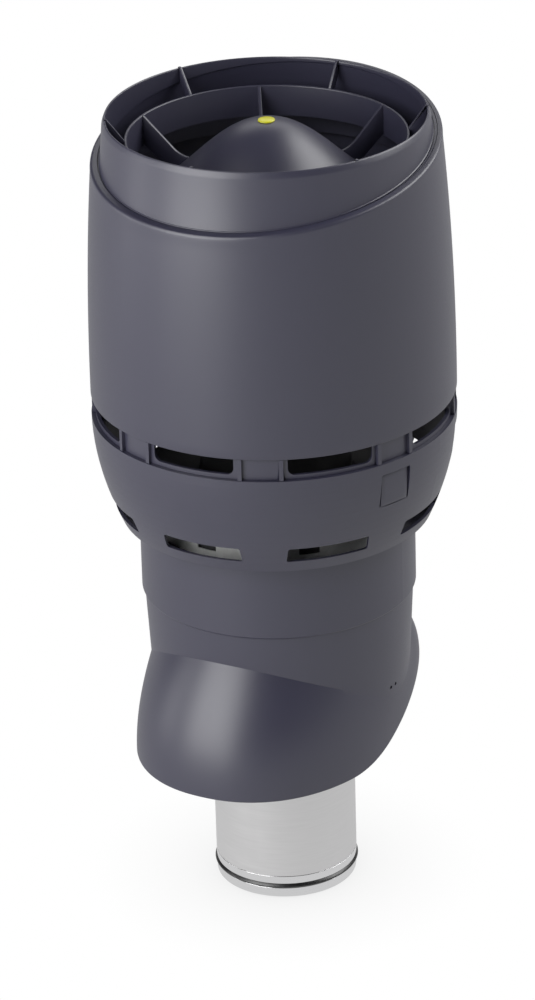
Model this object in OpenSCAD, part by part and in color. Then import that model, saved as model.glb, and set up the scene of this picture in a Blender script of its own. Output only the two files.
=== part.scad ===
// Insulated roof vent pipe with a lift-off flow cowl. All lengths are in mm.
// z runs up the duct axis from the mouth of the steel pipe; the low side of the roof is at -Y.

/* [Steel duct] */
// Outside diameter of the duct pipe
duct_d = 125; // [100:1:140]
// Sheet thickness of the duct pipe
duct_wall = 1; // [0.6:0.1:1.6]
// Height of the pipe's upper end, inside the cowl base
duct_top_z = 401; // [392:1:420]
// Height of the coupling end that shows below the pipe
coupling_h = 20.5; // [16:0.5:30]
// How far the coupling reaches up inside the pipe
coupling_reach = 34; // [20:1:60]
// Width of the seal groove
seal_groove_h = 9.2; // [5:0.2:10]
// Height of the hemmed mouth below the groove
hem_h = 8.6; // [5:0.2:9]
// How far the seal lip stands out past the pipe
lip_reach = 1.3; // [0.6:0.1:2.5]

/* [Insulated casing] */
// Outside diameter of the casing under the collar
casing_top_d = 233.8; // [226:0.2:260]
// Outside diameter of the casing at the roof boot
casing_low_d = 224.6; // [210:0.2:230]
// Wall of the casing
casing_wall = 3; // [2:0.5:5]
// Height where the collar's lower edge sits on the casing
collar_z = 284.2; // [270:0.2:300]
// How far the casing's spigot goes up inside the collar
spigot_h = 49; // [30:1:60]
// Height of the plate that closes the insulation below
plate_z = 211.5; // [206:0.5:220]
// Thickness of that plate
plate_t = 3; // [2:0.5:5]

/* [Roof boot] */
// Length of the boot's lower edge, front to rear
boot_l = 297.6; // [270:0.2:310]
// Width of the boot's lower edge, side to side
boot_w = 227; // [222:0.2:250]
// How far the boot's middle lies towards the front
boot_shift = 7; // [0:0.5:12]
// Squareness of the lower edge: 2 is an ellipse
boot_power = 2.2; // [2:0.1:3]
// Height of the crease at the sides
crease_z = 192.3; // [188:0.1:200]
// How far the crease rises to the front and to the rear
crease_rise = 57; // [40:1:66]
// How much more it rises to the front, and less to the rear
crease_lean = 5; // [0:0.5:8]
// How early the crease turns up: 0.5 is an even arch
crease_power = 0.57; // [0.5:0.01:0.8]
// How fast the hoods turn down from the crease
hood_turn = 2; // [1.2:0.1:3]
// Height of the lower edge at the front
edge_front_z = 144.4; // [130:0.2:160]
// Height of the lower edge at the rear
edge_rear_z = 202; // [190:0.5:205]
// Where the lower edge starts to climb, in front of the axis
edge_climb_y = 75; // [40:1:100]
// Length of that climb, front to rear
edge_climb_l = 200; // [150:1:220]
// Diameter of the small fixing holes at the sides
fix_hole_d = 3.2; // [2:0.2:5]
// Height of the fixing holes
fix_hole_z = 206; // [200:0.5:208]

/* [Cowl base] */
// How far the collar stands out past the casing
collar_lip = 2.3; // [1.2:0.1:4]
// Height where the bowl's underside meets the collar
neck_z = 351.5; // [340:0.5:354]
// Height of the bowl's lower edge
bowl_low_z = 356.4; // [354.6:0.1:364]
// Roundness of the bowl
bowl_power = 1.93; // [1.4:0.01:2.6]
// Height of the ledge above the bowl
ledge_z = 449.8; // [440:0.1:455]
// Largest radius of the bowl
bowl_r = 156.6; // [154:0.1:160]
// How much the bowl narrows to its lower edge
bowl_narrow = 21.9; // [10:0.1:26]
// Wall of the bowl
bowl_wall = 3; // [2:0.5:4]
// Depth of the ledge
ledge_w = 3.8; // [2:0.1:6]
// Height of the vent band above the ledge
band_h = 42; // [36:0.1:50]
// Openings round the vent band, and round the bowl
window_n = 8; // [6:1:10]
// Half width of a vent window, in degrees
window_half = 14; // [8:0.5:15]
// Height of a vent window
window_h = 28; // [16:1:30]
// Height of a window's sill above the ledge
sill_h = 3.9; // [2:0.1:12]
// Corner radius of the windows
window_corner = 6; // [2:0.5:8]
// Half width of a drain slot, in degrees
slot_half = 14.9; // [8:0.1:18]
// Height of a drain slot
slot_h = 14; // [8:0.2:18]
// Height of a drain slot's lower edge
slot_z = 367.4; // [362:0.2:374]
// Corner radius of the drain slots
slot_corner = 2; // [1:0.5:6]
// Angle of a stiffening rib from the middle of its panel
rib_turn = 6.4; // [5:0.1:8]
// Thickness of the ribs
rib_t = 3.6; // [1.6:0.2:4]

/* [Latch tongues] */
// Where the four tongues are, in degrees
tongue_turns = [22.5, 157.5, 202.5, 337.5];
// Width of the opening for a tongue
tongue_w = 32; // [24:0.5:34]
// Height of the opening's lower edge
tongue_z = 408.5; // [400:0.5:414]
// Height of the opening
tongue_h = 31.2; // [24:0.2:36]
// Gap beside and above a tongue
tongue_gap = 0.8; // [0.5:0.1:1.2]
// Depth of the finger recess at a tongue's upper edge
recess_depth = 1.5; // [0.4:0.1:1.8]
// Width of the key rib on the back of a tongue
key_w = 6; // [4:0.5:9]

/* [Neck sleeve and nozzle] */
// Sheet thickness of the neck sleeve
sleeve_wall = 1.2; // [0.8:0.1:2]
// Height of the sleeve's upper edge
sleeve_top_z = 385; // [380:0.5:390]
// Snap windows round the sleeve
snap_n = 8; // [4:1:12]
// Turn of the first snap window from the front, in degrees
snap_turn = -4.4; // [-10:0.1:10]
// Width of a snap window
snap_w = 18; // [10:0.5:22]
// Height of a snap window
snap_h = 6.5; // [5:0.5:12]
// Height of the middle of the snap windows
snap_z = 364; // [350:0.5:370]
// Height of the air nozzle above its flange
nozzle_h = 88; // [60:1:110]
// Radius of the nozzle's mouth
nozzle_mouth_r = 50; // [40:0.5:58]
// Wall of the nozzle
nozzle_wall = 2.4; // [1.6:0.2:4]

/* [Cowl drum] */
// How far the drum's lower edge stands out past the vent band
drum_reach = 3.8; // [3.4:0.1:6]
// Height of the drum's lower edge
drum_z = 469.4; // [462:0.2:474]
// Wall of the drum
drum_wall = 2.2; // [1.6:0.1:2.6]
// How much the drum narrows up to the shoulder
drum_taper = 9.3; // [4:0.1:12]
// How far the slanted shoulder lies below the rim, on the axis
shoulder_drop = 26.7; // [26:0.1:40]
// Slope of the shoulder, in degrees
shoulder_tilt = 9.6; // [4:0.1:10]
// How far the crown's rim lies inside its opening
rim_in = 6.5; // [4:0.1:9]
// Height of the crown's rim
rim_z = 716.2; // [712:0.2:730]
// Width of the rim's flat top
rim_w = 1.8; // [1.2:0.1:3]
// Height of the bevel under the rim
bevel_h = 5; // [3:0.5:8]
// How much the crown widens per mm of depth
crown_flare = 0.09; // [0.02:0.01:0.1]
// Width of the shoulder from the drum's outside to the crown's opening
shoulder_w = 5; // [5:0.1:8]
// Depth of the crown below its rim
crown_depth = 70; // [60:1:90]
// How far the step inside the crown lies below the rim, on the axis
step_drop = 22.2; // [20:0.1:25]

/* [Crown grille and dome] */
// Gap between the rim and the grille's ring
ring_gap = 16.4; // [12:0.2:22]
// Height of the ring
ring_h = 28; // [18:0.5:30]
// How far the ring lies below the rim
ring_drop = 19.5; // [12:0.5:24]
// Wall of the ring
ring_wall = 2.5; // [1.6:0.1:4]
// Arms outside the ring, and inside it
arm_n = 6; // [4:1:8]
// Thickness of the arms
arm_t = 2.6; // [1.8:0.1:4]
// How far the flat part of the inner arms lies below the rim
arm_drop = 51; // [48:0.5:56]
// Depth of the inner arms
arm_depth = 13; // [8:0.5:16]
// How far the dome's top lies below the rim
dome_drop = 6.8; // [4:0.2:12]
// Gap between the ring and the dome's lower edge, both outside
dome_gap = 29.4; // [20:0.2:38]
// Half of the dome's bell height
bell_h = 37; // [32:0.5:46]
// Width of the dome's bell curve
bell_w = 125; // [120:1:140]
// Wall of the dome
dome_wall = 2.5; // [1.8:0.1:4]
// Radius of the hub post under the dome
post_r = 9; // [7:0.5:12]
// Radius of the plug's head
plug_r = 7.1; // [6.8:0.1:9]
// Radius of the pocket for plug and screw head
pocket_r = 6.2; // [5.8:0.1:6.5]
// Depth of that pocket
pocket_h = 10; // [9:0.5:14]

/* [Hidden] */
$fn = 96;
seam = 0.25;
fit = 0.3;
pin_fit = 0.1;
hinge_fit = 0.08;
cut = 1;
far = 4 * bowl_r;
wall_in = 14;
duct_r = duct_d / 2;
core_r = duct_r + fit;
coupling_r = duct_r - duct_wall - fit;
hem_reach = 0.8;
casing_top_r = casing_top_d / 2;
collar_r = casing_top_r + collar_lip;
casing_low_r = casing_low_d / 2;
casing_slope = (casing_top_r - casing_low_r) / (collar_z - crease_z);
casing_end_z = crease_z - 2.3;
spigot_step = 1.8;
spigot_r = casing_top_r - spigot_step;
spigot_top_z = collar_z + spigot_h;
fix_turns = [84, 88, -84, -88];
collar_bore = spigot_r + fit;
sleeve_r = spigot_r;
sleeve_bore = sleeve_r - sleeve_wall;
skirt_h = 8;
band_r = bowl_r - ledge_w;
band_bore = band_r - bowl_wall;
band_top_z = ledge_z + band_h;
drum_r = band_r + drum_reach;
opening_r = drum_r - drum_taper - shoulder_w;
rim_r = opening_r - rim_in;
ring_r = rim_r - ring_gap;
dome_r = ring_r - dome_gap;
seat_t = 3;
seat_z = band_top_z + seam;
leg_r = band_bore - 0.9;
leg_t = 2.4;
leg_w = 22;
leg_end_z = tongue_z + 6;
fork_z = tongue_z + tongue_h + 4;
key_gap = 0.6;
key_edge = 8;
recess_edge = 4.5;
hinge_bead_r = 1.1;
hinge_z = tongue_z + fit;
crown_bore = rim_r - rim_w;
crown_wall = 2.6;
crown_low_z = rim_z - crown_depth;
shoulder_z = rim_z - shoulder_drop;
step_z = rim_z - step_drop;
groove_depth = 0.6;
flange_t = 2.4;
flange_reach = 2;
round_r = 5;
ring_top_z = rim_z - ring_drop;
arm_flat_z = rim_z - arm_drop;
arm_low_z = arm_flat_z - arm_depth;
arm_h = 13.5;
arm_bend = 11;
dome_z = rim_z - dome_drop;
bell_rate = 180 / bell_w;
notch_in = 26;
boss_wall = 2.5;
floor_t = 4;
boss_z = dome_z - pocket_h - floor_t;
screw_r = 2.5;
screw_hole_r = screw_r + fit;
head_r = 4.5;
head_h = 3.2;
socket_r = 1.73;
nut_h = 4;
nut_r = 8 / 2 / cos(30);
washer_t = 1;
plug_t = 1.8;
pitch = 360 / window_n;
front = -90;
boot_n = 72;
boot_rows = 9;
steel = [0.78, 0.78, 0.79];
galvanised = [0.6, 0.6, 0.61];
plastic = [0.37, 0.37, 0.42];
black = [0.12, 0.12, 0.13];

// Radius of the casing's outside and of its bore at a height.
function casing_r(z) = casing_low_r + casing_slope * (z - crease_z);
function bore_r(z) = casing_r(z) - casing_wall;
spigot_bore = min(spigot_r - casing_wall, bore_r(collar_z));

// Radius of the bowl's outside and inside at a height.
function bowl_at(z) =
    bowl_r - bowl_narrow * pow(max(0, (ledge_z - z) / (ledge_z - bowl_low_z)), bowl_power);
function bowl_in(z) = bowl_at(z) - 1.05 * bowl_wall;

// Radius of the drum's outside at a height.
function drum_at(z) = drum_r - drum_taper * pow(max(0, (z - drum_z) / (shoulder_z - drum_z)), 2.1);

// Radius of the crown's outside at a height, below its bevel.
function crown_at(z) = rim_r + rim_w + crown_flare * (rim_z - bevel_h - z);

// Height of the dome's surface at a radius.
function dome_at(r) = dome_z - bell_h * (1 - cos(bell_rate * max(0, r - 4)));

// Height of the boot's lower edge at a distance towards the front.
function edge_at(a) =
    let (t = min(1, max(0, (edge_climb_y - a) / edge_climb_l)))
    edge_front_z + (edge_rear_z - edge_front_z) * (1 - cos(180 * t)) / 2;

// Radius of the boot's lower edge about its own middle, at a turn from the front.
function edge_r(turn) =
    pow(pow(abs(sin(turn)) / (boot_w / 2), boot_power)
        + pow(abs(cos(turn)) / (boot_l / 2), boot_power), -1 / boot_power);

// Height of the crease at a turn from the front.
function crease_at(turn) =
    crease_z + (crease_rise + crease_lean * cos(turn)) * pow(pow(cos(turn), 2) + 0.01, crease_power);

// A point of the boot's wall: t runs from the crease to the lower edge, inset goes inwards.
function boot_point(turn, t, inset) =
    let (top_z = crease_at(turn),
        top_r = casing_r(top_z) - casing_wall / 3,
        g = 1 - pow(1 - t, hood_turn),
        low_r = edge_r(turn),
        low_z = edge_at(low_r * cos(turn) + boot_shift),
        r = top_r + (low_r - top_r) * g - inset * (0.4 + 0.6 * g))
    [r * sin(turn), -r * cos(turn) - boot_shift * g, top_z + (low_z - top_z) * t];

// A tube between two heights.
module tube(r_out, r_in, z0, z1) {
    translate([0, 0, z0])
        difference() {
            cylinder(r = r_out, h = z1 - z0);
            translate([0, 0, -cut]) cylinder(r = r_in, h = z1 - z0 + 2 * cut);
        }
}

// A flat plate on the axis plane at a turn, drawn as r and z.
module radial_plate(turn, t) {
    rotate([0, 0, turn])
        translate([0, t / 2, 0])
            rotate([90, 0, 0])
                linear_extrude(t) children();
}

// A rectangle with round corners, standing on its lower edge.
module rounded_rect(w, h, r) {
    translate([-w / 2 + r, 0]) square([w - 2 * r, h]);
    translate([-w / 2, r]) square([w, h - 2 * r]);
    for (x = [-w / 2 + r, w / 2 - r], y = [r, h - r])
        translate([x, y]) circle(r = r, $fn = 32);
}

// A block that reaches out across the walls at a turn, from radius r0.
module wall_block(turn, r0, w, z0, h, corner) {
    rotate([0, 0, turn])
        translate([r0, 0, z0])
            rotate([90, 0, 90])
                linear_extrude(far) rounded_rect(w, h, corner);
}

// The space under a plane that slopes down to the front.
module under_slope(z) {
    translate([0, 0, z])
        rotate([shoulder_tilt, 0, 0])
            translate([-far / 2, -far / 2, -far]) cube(far);
}

module duct_pipe() {
    color(steel) tube(duct_r, duct_r - duct_wall, coupling_h + seam, duct_top_z);
}

module spigot_coupling() {
    hem_r = coupling_r + hem_reach;
    groove_z = hem_h + seal_groove_h;
    color(steel)
        rotate_extrude()
            polygon([
                [coupling_r - 1, 0.6],
                [coupling_r - 0.4, 0],
                [hem_r, 0],
                [hem_r, hem_h],
                [coupling_r, hem_h],
                [coupling_r, groove_z],
                [duct_r - 0.5, groove_z],
                [duct_r, groove_z + 0.6],
                [duct_r, coupling_h],
                [coupling_r, coupling_h],
                [coupling_r, coupling_h + coupling_reach],
                [coupling_r - 1, coupling_h + coupling_reach]
            ]);
}

module lip_seal() {
    root_r = coupling_r + 0.05;
    low = hem_h + 0.2;
    high = hem_h + seal_groove_h - 0.2;
    color(black)
        rotate_extrude()
            polygon([
                [root_r, low],
                [root_r + 1, low],
                [duct_r + lip_reach, low + 2.4],
                [duct_r + lip_reach, low + 3.2],
                [duct_r - 0.2, high - 0.6],
                [root_r + 0.6, high],
                [root_r, high]
            ]);
}

// The insulation between duct and casing, before it is split.
module insulation_shape() {
    low_z = plate_z + plate_t + seam;
    high_z = sleeve_top_z - seam;
    rotate_extrude()
        polygon([
            [core_r, low_z],
            [bore_r(low_z) - fit, low_z],
            [min(bore_r(collar_z), spigot_bore) - fit, collar_z],
            [spigot_bore - fit, high_z],
            [core_r, high_z]
        ]);
}

module insulation_half(side) {
    color([0.2, 0.2, 0.2])
        intersection() {
            insulation_shape();
            translate([-far / 2, side < 0 ? -far - fit / 2 : fit / 2, 0]) cube(far);
        }
}

module insulation_front() {
    insulation_half(-1);
}

module insulation_rear() {
    insulation_half(1);
}

module insulation_plate() {
    color(black)
        tube(bore_r(plate_z) - fit, core_r, plate_z, plate_z + plate_t);
}

// The boot: two hoods lofted from the crease on the casing to the lower edge.
module roof_boot() {
    rings = 2 * boot_rows;
    points = [
        for (k = [0 : rings - 1], i = [0 : boot_n - 1])
            let (outer = k < boot_rows,
                row = outer ? k : rings - 1 - k)
            boot_point(i * 360 / boot_n, row / (boot_rows - 1), outer ? 0 : casing_wall)
    ];
    faces = [
        for (k = [0 : rings - 1], i = [0 : boot_n - 1], half = [0, 1])
            let (j = (i + 1) % boot_n,
                a = k * boot_n,
                b = (k + 1) % rings * boot_n)
            half == 0 ? [a + i, b + j, b + i] : [a + i, a + j, b + j]
    ];
    polyhedron(points, faces);
}

module casing() {
    color(plastic)
        difference() {
            union() {
                rotate_extrude()
                    polygon([
                        [bore_r(casing_end_z), casing_end_z],
                        [casing_r(casing_end_z), casing_end_z],
                        [casing_top_r, collar_z],
                        [spigot_r, collar_z],
                        [spigot_r, spigot_top_z - 1],
                        [spigot_r - 0.6, spigot_top_z],
                        [spigot_bore, spigot_top_z],
                        [spigot_bore, collar_z],
                        [bore_r(collar_z - 4), collar_z - 4]
                    ]);
                roof_boot();
            }
            for (turn = fix_turns)
                rotate([0, 0, front + turn])
                    translate([casing_low_r - 3 * casing_wall, 0, fix_hole_z])
                        rotate([0, 90, 0]) cylinder(d = fix_hole_d, h = 6 * casing_wall);
        }
}

// Wall of the cowl base: collar, bowl and ledge in one turned shape.
module base_wall() {
    steps = 12;
    bowl_z = [for (i = [0 : steps]) bowl_low_z + (ledge_z - bowl_low_z) * i / steps];
    rotate_extrude()
        polygon(concat(
            [[collar_bore, collar_z + seam], [collar_r - 0.8, collar_z + seam],
                [collar_r, collar_z + 1.5], [collar_r, neck_z]],
            [for (z = bowl_z) [bowl_at(z), z]],
            [[band_bore, ledge_z], [band_bore, ledge_z - bowl_wall]],
            [for (i = [steps - 1 : -1 : 1]) [bowl_in(bowl_z[i]), bowl_z[i]]],
            [[bowl_in(bowl_low_z), bowl_low_z + bowl_wall], [collar_bore, neck_z + bowl_wall]]
        ));
}

// One latch tongue's block, smaller than its opening by the gap.
module tongue_block(turn, gap, low_gap) {
    wall_block(turn, band_bore - wall_in, tongue_w - 2 * gap, tongue_z + low_gap,
        tongue_h - gap - low_gap, 1.5);
}

// The bar a tongue turns on, along its lower edge.
module hinge_bar(turn, r, w) {
    sag = tongue_w * tongue_w / (16 * bowl_r);
    rotate([0, 0, turn])
        translate([(bowl_at(hinge_z) + bowl_in(hinge_z)) / 2 - sag, w / 2, hinge_z])
            rotate([90, 0, 0]) cylinder(r = r, h = w);
}

// The band with the air windows, which stands on the bowl's ledge inside the drum's edge.
module vent_band() {
    window_w = 2 * band_r * sin(window_half);
    rib_out = drum_r - drum_wall / 3;
    foot_z = ledge_z + seam;
    color(plastic)
        difference() {
            union() {
                tube(band_r, band_bore, foot_z, band_top_z);
                for (i = [0 : window_n - 1], side = [-1, 1])
                    radial_plate((i + 0.5) * pitch + side * rib_turn, rib_t)
                        translate([band_r - cut, foot_z])
                            square([rib_out - band_r + cut, drum_z - fit - foot_z]);
            }
            for (i = [0 : window_n - 1])
                wall_block(i * pitch, band_bore - wall_in, window_w, ledge_z + sill_h, window_h,
                    window_corner);
        }
}

module cowl_base() {
    slot_w = 2 * bowl_at(slot_z) * sin(slot_half);
    color(plastic)
        difference() {
            base_wall();
            for (i = [0 : window_n - 1])
                wall_block(i * pitch, collar_r, slot_w, slot_z, slot_h, slot_corner);
            for (turn = tongue_turns) {
                tongue_block(turn, 0, 0);
                hinge_bar(turn, hinge_bead_r + hinge_fit, tongue_w - tongue_gap);
            }
        }
}

// The skin of the bowl's outside, used to sink the finger recess.
module bowl_skin(depth) {
    steps = 6;
    rotate_extrude()
        polygon(concat(
            [for (i = [0 : steps]) let (z = tongue_z + tongue_h * i / steps)
                [bowl_at(z) - depth * i / steps, z]],
            [[bowl_r + 9, tongue_z + tongue_h], [bowl_r + 9, tongue_z]]
        ));
}

module latch_tongue(turn) {
    key_low = tongue_z + key_edge;
    color(plastic) {
        difference() {
            intersection() {
                base_wall();
                tongue_block(turn, tongue_gap, fit);
            }
            intersection() {
                bowl_skin(recess_depth);
                wall_block(turn, band_bore - wall_in, tongue_w - 2 * recess_edge,
                    tongue_z + recess_edge / 2, tongue_h, 2);
            }
        }
        hinge_bar(turn, hinge_bead_r, tongue_w - 2 * tongue_gap);
        radial_plate(turn, key_w)
            translate([leg_r - leg_t, key_low])
                square([bowl_in(key_low) - leg_r + leg_t + cut, tongue_h - 2 * key_edge]);
    }
}

module latch_tongue_rear_right() {
    latch_tongue(tongue_turns[0]);
}

module latch_tongue_rear_left() {
    latch_tongue(tongue_turns[1]);
}

module latch_tongue_front_left() {
    latch_tongue(tongue_turns[2]);
}

module latch_tongue_front_right() {
    latch_tongue(tongue_turns[3]);
}

module neck_sleeve() {
    color(galvanised)
        difference() {
            tube(sleeve_r, sleeve_bore, spigot_top_z + seam, sleeve_top_z);
            for (i = [0 : snap_n - 1])
                wall_block(front + snap_turn + i * 360 / snap_n, sleeve_bore - wall_in, snap_w,
                    snap_z - snap_h / 2, snap_h, 0.8);
        }
}

module air_nozzle() {
    low = sleeve_top_z + seam;
    socket_r = core_r + nozzle_wall;
    rim = sleeve_r + fit;
    fillet = nozzle_wall + 0.6;
    socket_z = duct_top_z + 2;
    mouth_z = low + nozzle_h;
    color(black)
        rotate_extrude()
            polygon([
                [core_r, low],
                [rim, low],
                [rim, low - skirt_h],
                [rim + nozzle_wall, low - skirt_h],
                [rim + nozzle_wall, low + 1],
                [rim + nozzle_wall - 1, low + nozzle_wall],
                [socket_r + fillet, low + nozzle_wall],
                [socket_r, low + nozzle_wall + fillet],
                [socket_r, socket_z + 2],
                [nozzle_mouth_r, mouth_z],
                [nozzle_mouth_r - nozzle_wall, mouth_z],
                [duct_r - duct_wall, socket_z],
                [duct_r - duct_wall, duct_top_z + seam],
                [core_r, duct_top_z + seam]
            ]);
}

// The drum's turned form, inset from its outside, and closed at the top.
module drum_form(inset, low_z) {
    steps = 14;
    rotate_extrude()
        polygon(concat(
            [[0, low_z], [drum_at(low_z) - inset, low_z]],
            [for (i = [1 : steps]) let (z = drum_z + (rim_z - drum_z) * i / steps)
                [drum_at(z) - inset, z]],
            [[0, rim_z]]
        ));
}

// The space under the slanted shoulder, with a round along the drum's edge.
module under_shoulder() {
    edge_r = drum_at(shoulder_z) + 1.4;
    steps = 4;
    translate([0, 0, shoulder_z])
        rotate([shoulder_tilt, 0, 0])
            rotate_extrude()
                polygon(concat(
                    [[0, -far], [far, -far], [far, -12 * round_r], [edge_r, -round_r]],
                    [for (i = [1 : steps]) let (a = 90 * i / steps)
                        [edge_r - round_r * (1 - cos(a)), -round_r * (1 - sin(a))]],
                    [[0, 0]]
                ));
}

// The crown's outer surface as a solid, inset from its outside.
module crown_form(inset) {
    rotate_extrude()
        polygon([
            [0, crown_low_z - cut],
            [crown_at(crown_low_z - cut) - inset, crown_low_z - cut],
            [crown_at(rim_z) - inset, rim_z],
            [0, rim_z]
        ]);
}

// The space inside the crown, wider below the slanted step.
module crown_inside() {
    translate([0, 0, crown_low_z - cut]) cylinder(r = crown_bore, h = crown_depth + 2 * cut);
    intersection() {
        crown_form(crown_wall);
        under_slope(step_z);
    }
}

// A slanted slice of a round bar: depth and thickness are measured below the shoulder.
module slanted_slice(r, depth, t) {
    intersection() {
        translate([0, 0, crown_low_z]) cylinder(r = r, h = crown_depth);
        difference() {
            under_slope(shoulder_z - depth);
            under_slope(shoulder_z - depth - t);
        }
    }
}

module crown_collar() {
    lip_depth = drum_wall + seam;
    color(plastic)
        difference() {
            union() {
                rotate_extrude()
                    polygon([
                        [0, crown_low_z],
                        [crown_at(crown_low_z), crown_low_z],
                        [crown_at(rim_z - bevel_h), rim_z - bevel_h],
                        [rim_r + 0.3, rim_z - 0.8],
                        [rim_r - 0.4, rim_z],
                        [0, rim_z]
                    ]);
                slanted_slice(opening_r - seam, groove_depth, lip_depth);
                intersection() {
                    slanted_slice(opening_r + flange_reach, lip_depth, flange_t);
                    drum_form(drum_wall + fit, drum_z);
                }
            }
            crown_inside();
        }
}

module cowl_drum() {
    color(plastic)
        difference() {
            intersection() {
                drum_form(0, drum_z);
                under_shoulder();
            }
            intersection() {
                drum_form(drum_wall, drum_z - cut);
                under_slope(shoulder_z - drum_wall);
            }
            cylinder(r = opening_r, h = rim_z + cut);
        }
}

// One leg of the seat ring, forked round the key of its tongue.
module seat_leg(turn) {
    difference() {
        intersection() {
            tube(leg_r, leg_r - leg_t, leg_end_z, seat_z + seat_t / 2);
            wall_block(turn, leg_r / 2, leg_w, leg_end_z, seat_z + seat_t - leg_end_z, 0.5);
        }
        wall_block(turn, leg_r / 2, key_w + 2 * key_gap, leg_end_z - wall_in,
            fork_z - leg_end_z + wall_in, 1);
    }
}

module seat_ring() {
    color(plastic) {
        tube(drum_at(seat_z + seat_t) - drum_wall - seam, leg_r - leg_t - 1, seat_z,
            seat_z + seat_t);
        for (turn = tongue_turns) seat_leg(turn);
    }
}

module crown_grille() {
    reach = crown_bore - fit;
    nub_h = 1.2;
    nub_r = rim_r + 0.4;
    color(plastic)
        difference() {
            union() {
                tube(ring_r, ring_r - ring_wall, ring_top_z - ring_h, ring_top_z);
                for (i = [0 : arm_n - 1]) {
                    radial_plate((i + 0.5) * 360 / arm_n, arm_t)
                        polygon([
                            [ring_r - cut, ring_top_z - arm_h],
                            [ring_r - cut, ring_top_z],
                            [reach - 0.5, rim_z + nub_h],
                            [nub_r, rim_z + nub_h],
                            [nub_r, rim_z + pin_fit],
                            [reach, rim_z + pin_fit],
                            [reach, rim_z - arm_h]
                        ]);
                    radial_plate(i * 360 / arm_n, arm_t)
                        polygon([
                            [post_r - cut, arm_low_z],
                            [post_r - cut, arm_flat_z],
                            [dome_r - arm_bend, arm_flat_z],
                            [dome_r - arm_bend / 2, arm_flat_z + arm_bend / 11],
                            [dome_r, arm_flat_z + arm_bend / 3],
                            [ring_r - ring_wall, ring_top_z],
                            [ring_r - cut, ring_top_z],
                            [ring_r - cut, ring_top_z - ring_h + 3],
                            [dome_r + arm_bend / 2, arm_low_z + 2],
                            [dome_r, arm_low_z]
                        ]);
                }
                translate([0, 0, arm_low_z])
                    cylinder(r = post_r, h = boss_z - pin_fit - arm_low_z);
            }
            translate([0, 0, arm_low_z - cut]) {
                cylinder(r = screw_hole_r, h = boss_z - arm_low_z + 2 * cut);
                cylinder(r = nut_r + pin_fit, h = nut_h + cut + 2 * seam, $fn = 6);
            }
        }
}

module deflector_dome() {
    steps = 20;
    bell = [for (i = [0 : steps]) dome_r * i / steps];
    drop = 1.3 * dome_wall;
    color(plastic)
        difference() {
            union() {
                rotate_extrude()
                    polygon(concat(
                        [for (r = bell) [r, dome_at(r)]],
                        [for (i = [steps : -1 : 0]) [bell[i], dome_at(bell[i]) - drop]]
                    ));
                translate([0, 0, boss_z])
                    cylinder(r = pocket_r + boss_wall, h = dome_z - boss_z - cut);
            }
            translate([0, 0, boss_z + floor_t]) cylinder(r = pocket_r, h = pocket_h + cut);
            translate([0, 0, boss_z - cut]) cylinder(r = screw_hole_r, h = floor_t + 2 * cut);
            for (i = [0 : arm_n - 1])
                radial_plate(i * 360 / arm_n, arm_t + 0.8)
                    translate([dome_r - notch_in, arm_flat_z + fit - far]) square(far);
        }
}

module dome_washer() {
    color(steel)
        tube(pocket_r - 0.4, screw_hole_r, boss_z + floor_t, boss_z + floor_t + washer_t);
}

module dome_screw() {
    under_z = boss_z + floor_t + washer_t;
    tip_z = arm_low_z - 2 * cut;
    color(steel)
        difference() {
            union() {
                translate([0, 0, tip_z]) cylinder(r = screw_r, h = under_z - tip_z);
                translate([0, 0, under_z]) cylinder(r = head_r, h = head_h);
            }
            translate([0, 0, under_z + head_h / 3]) cylinder(r = socket_r, h = head_h, $fn = 6);
        }
}

module hub_nut() {
    low = arm_low_z + seam;
    color(steel)
        difference() {
            translate([0, 0, low]) cylinder(r = nut_r, h = nut_h, $fn = 6);
            translate([0, 0, low - cut]) cylinder(r = screw_r + pin_fit, h = nut_h + 2 * cut);
        }
}

module dome_plug() {
    stem_z = boss_z + floor_t + washer_t + head_h + 2 * fit;
    color([0.88, 0.86, 0.06]) {
        translate([0, 0, stem_z])
            cylinder(r = pocket_r - pin_fit, h = dome_z + pin_fit - stem_z);
        translate([0, 0, dome_z + pin_fit])
            rotate_extrude()
                polygon([
                    [0, 0],
                    [plug_r, 0],
                    [plug_r, 0.4 * plug_t],
                    [plug_r - 0.6, 0.7 * plug_t],
                    [plug_r - 2, 0.95 * plug_t],
                    [0, plug_t]
                ]);
    }
}

cowl_drum();
crown_collar();
seat_ring();
crown_grille();
deflector_dome();
dome_plug();
dome_screw();
dome_washer();
hub_nut();
vent_band();
cowl_base();
latch_tongue_rear_right();
latch_tongue_rear_left();
latch_tongue_front_left();
latch_tongue_front_right();
neck_sleeve();
air_nozzle();
casing();
insulation_front();
insulation_rear();
insulation_plate();
duct_pipe();
spigot_coupling();
lip_seal();
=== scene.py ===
"""The looks of an insulated roof vent pipe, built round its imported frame.

Lengths are in millimetres and are turned into metres where a mesh is made. z runs up the duct
from the mouth of the pipe, and the low side of the roof is at -Y.
"""
from math import asin, cos, degrees, pi, radians, sin, tan

import bmesh
import bpy
from mathutils import Matrix, Vector


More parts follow.
